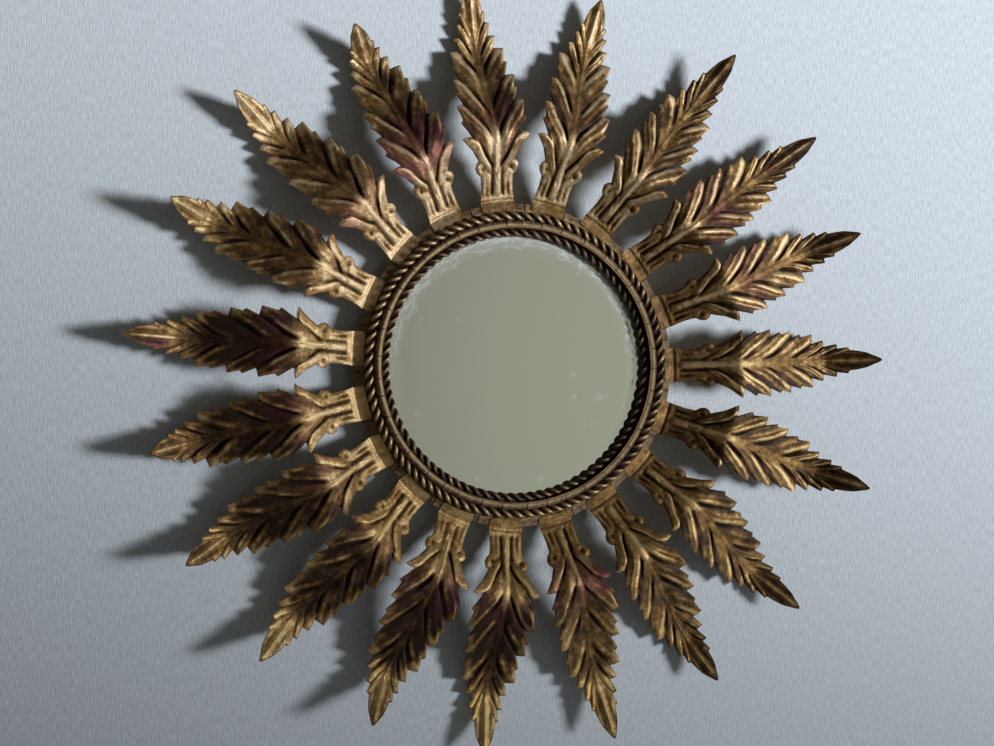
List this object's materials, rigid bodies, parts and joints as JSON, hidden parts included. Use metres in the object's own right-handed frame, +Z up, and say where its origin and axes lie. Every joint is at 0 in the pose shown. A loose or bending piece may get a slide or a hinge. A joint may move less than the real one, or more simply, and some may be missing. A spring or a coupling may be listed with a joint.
{
  "type": "sunburst mirror",
  "caption": "Round wall mirror in a stepped metal hoop with twisted rope trim, ringed by pressed acanthus leaves, hung by a swinging wire bail behind.",
  "frame": {"origin": "centre of the mirror on the plane of the wall, level with the rear hem of the hoop", "axes": "+Y points back into the wall, so the mirror faces -Y; +Z is up and +X is to the viewer's right"},
  "size_m": [0.6122, 0.0506, 0.6106],
  "materials": {
    "leaf_gold": "antique gilt, brown patina in the hollows, wine-red lacquer tints",
    "band_gold": "aged gilt strip with scored joints",
    "rope_gold": "dark bronze twisted wire with rubbed highlights",
    "hoop_gold": "dull aged gilt",
    "silvered_glass": "aged silvering with fine speckle",
    "grey_card": "plain card",
    "fibre_board": "plain fibre board",
    "painted_tin": "dark brown paint",
    "plated_steel": "dull plating"
  },
  "bodies": {
    "mirror": {"frame_hoop": "hoop_gold", "outer_band": "band_gold", "middle_band": "band_gold", "outer_rope": "rope_gold", "inner_rope": "rope_gold", "mirror_glass": "silvered_glass", "backing_card": "grey_card", "spacer_ring": "fibre_board", "back_plate": "painted_tin", "retaining_clips": "painted_tin", "bail_lugs": "plated_steel", "lug_rivets": "plated_steel", "leaf_01": "leaf_gold", "leaf_02": "leaf_gold", "leaf_03": "leaf_gold", "leaf_04": "leaf_gold", "leaf_05": "leaf_gold", "leaf_06": "leaf_gold", "leaf_07": "leaf_gold", "leaf_08": "leaf_gold", "leaf_09": "leaf_gold", "leaf_10": "leaf_gold", "leaf_11": "leaf_gold", "leaf_12": "leaf_gold", "leaf_13": "leaf_gold", "leaf_14": "leaf_gold", "leaf_15": "leaf_gold", "leaf_16": "leaf_gold", "leaf_17": "leaf_gold", "leaf_18": "leaf_gold", "leaf_19": "leaf_gold"},
    "bail": {"hanger_bail": "plated_steel"}
  },
  "joints": [
    {"name": "bail_swing", "type": "hinge", "parent": "mirror", "child": "bail", "pos_m": [0, -0.00494, 0.062], "axis": [1, 0, 0], "range_deg": [0, 180]}
  ]
}
